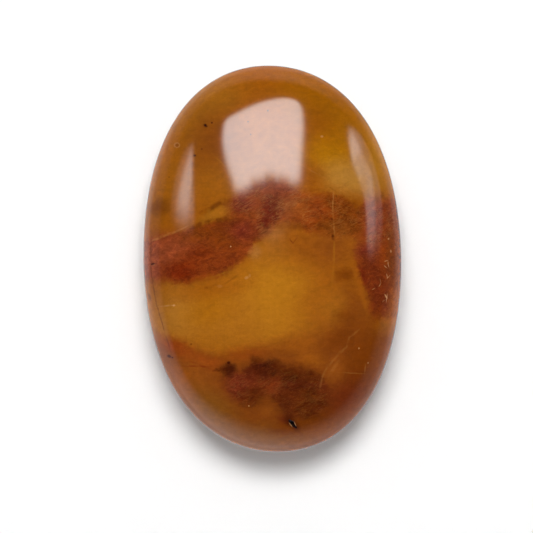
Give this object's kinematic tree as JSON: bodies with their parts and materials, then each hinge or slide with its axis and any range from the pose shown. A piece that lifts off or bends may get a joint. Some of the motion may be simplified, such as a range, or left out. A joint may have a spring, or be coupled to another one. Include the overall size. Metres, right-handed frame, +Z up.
{
  "type": "palm stone",
  "caption": "Polished oval palm stone in amber and red-brown, a flattened pebble that rests on a small flat spot and fills the hollow of a hand.",
  "frame": {"origin": "the middle of the small flat spot that the stone rests on, at the centre of its outline", "axes": "+Y along the stone's length, towards the honey-coloured end; +X across its width; +Z up out of its domed upper face"},
  "size_m": [0.04, 0.06, 0.02],
  "materials": {
    "polished_stone": "hand-polished to a gloss, banded in honey, amber, brick red and dark brown"
  },
  "bodies": {
    "root": {"palm_stone": "polished_stone"}
  },
  "joints": []
}
